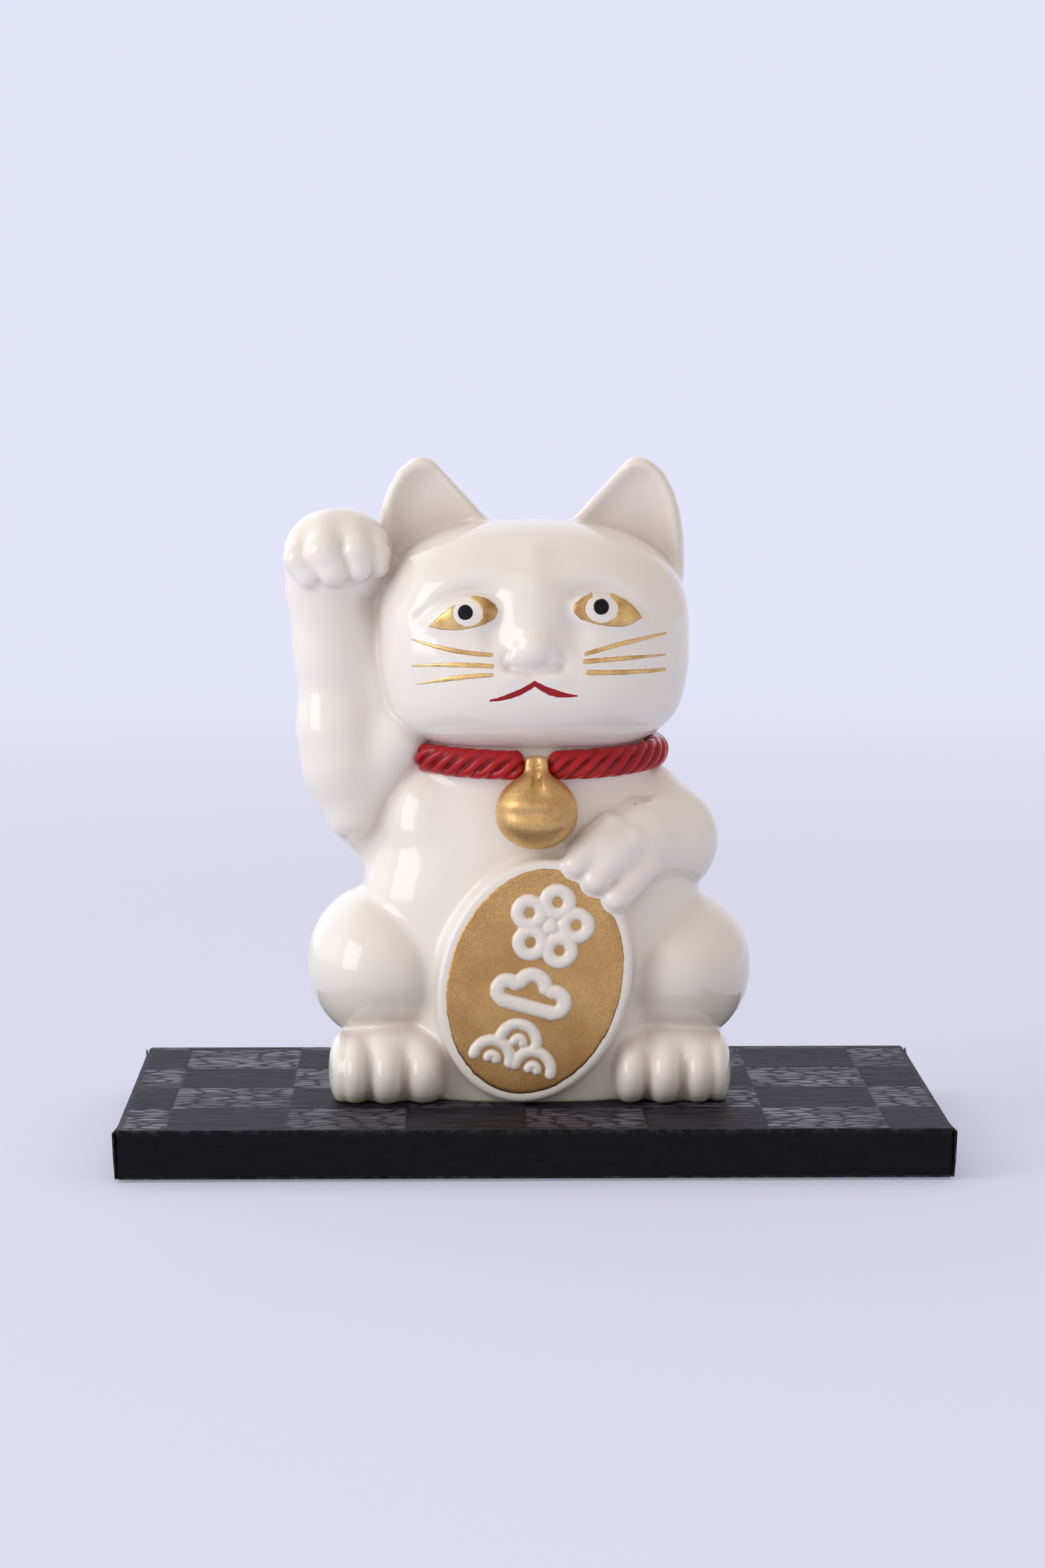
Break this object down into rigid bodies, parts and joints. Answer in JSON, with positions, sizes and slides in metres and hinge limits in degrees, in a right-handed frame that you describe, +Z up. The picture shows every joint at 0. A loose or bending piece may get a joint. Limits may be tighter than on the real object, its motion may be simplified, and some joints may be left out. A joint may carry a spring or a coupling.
{
  "type": "beckoning cat figurine",
  "caption": "Seated glazed ceramic cat with one raised paw, red cord collar, gold bell and gold oval coin plaque, standing loose on a thin covered display board.",
  "frame": {"origin": "centre of the display stand's underside, on the surface that it stands on", "axes": "+Z up, the cat faces -Y, +X towards the cat's left (its coin paw)"},
  "size_m": [0.15, 0.09, 0.1279],
  "materials": {
    "white_glaze": "glossy creamy white glaze",
    "red_enamel": "thick glossy red overglaze enamel",
    "black_enamel": "glossy black overglaze enamel of the pupils",
    "gold_lustre": "satin metallic gold overglaze, finely speckled",
    "core_board": "raw fibreboard",
    "cover_sheet": "embossed black bookbinding paper with a lilac-grey sheen",
    "lining_paper": "matt black lining paper"
  },
  "bodies": {
    "stand": {"stand_core": "core_board", "stand_cover": "cover_sheet", "stand_lining": "lining_paper"},
    "figure": {"ceramic_body": "white_glaze", "collar_short": "red_enamel", "collar_long": "red_enamel", "bell": "gold_lustre", "coin_plaque": "gold_lustre", "emblem_blossom": "white_glaze", "emblem_cloud": "white_glaze", "emblem_wave": "white_glaze"}
  },
  "joints": [
    {"name": "figure_lift", "type": "slide", "parent": "stand", "child": "figure", "axis": [0, 0, 1], "range_m": [0, 0.04]}
  ]
}
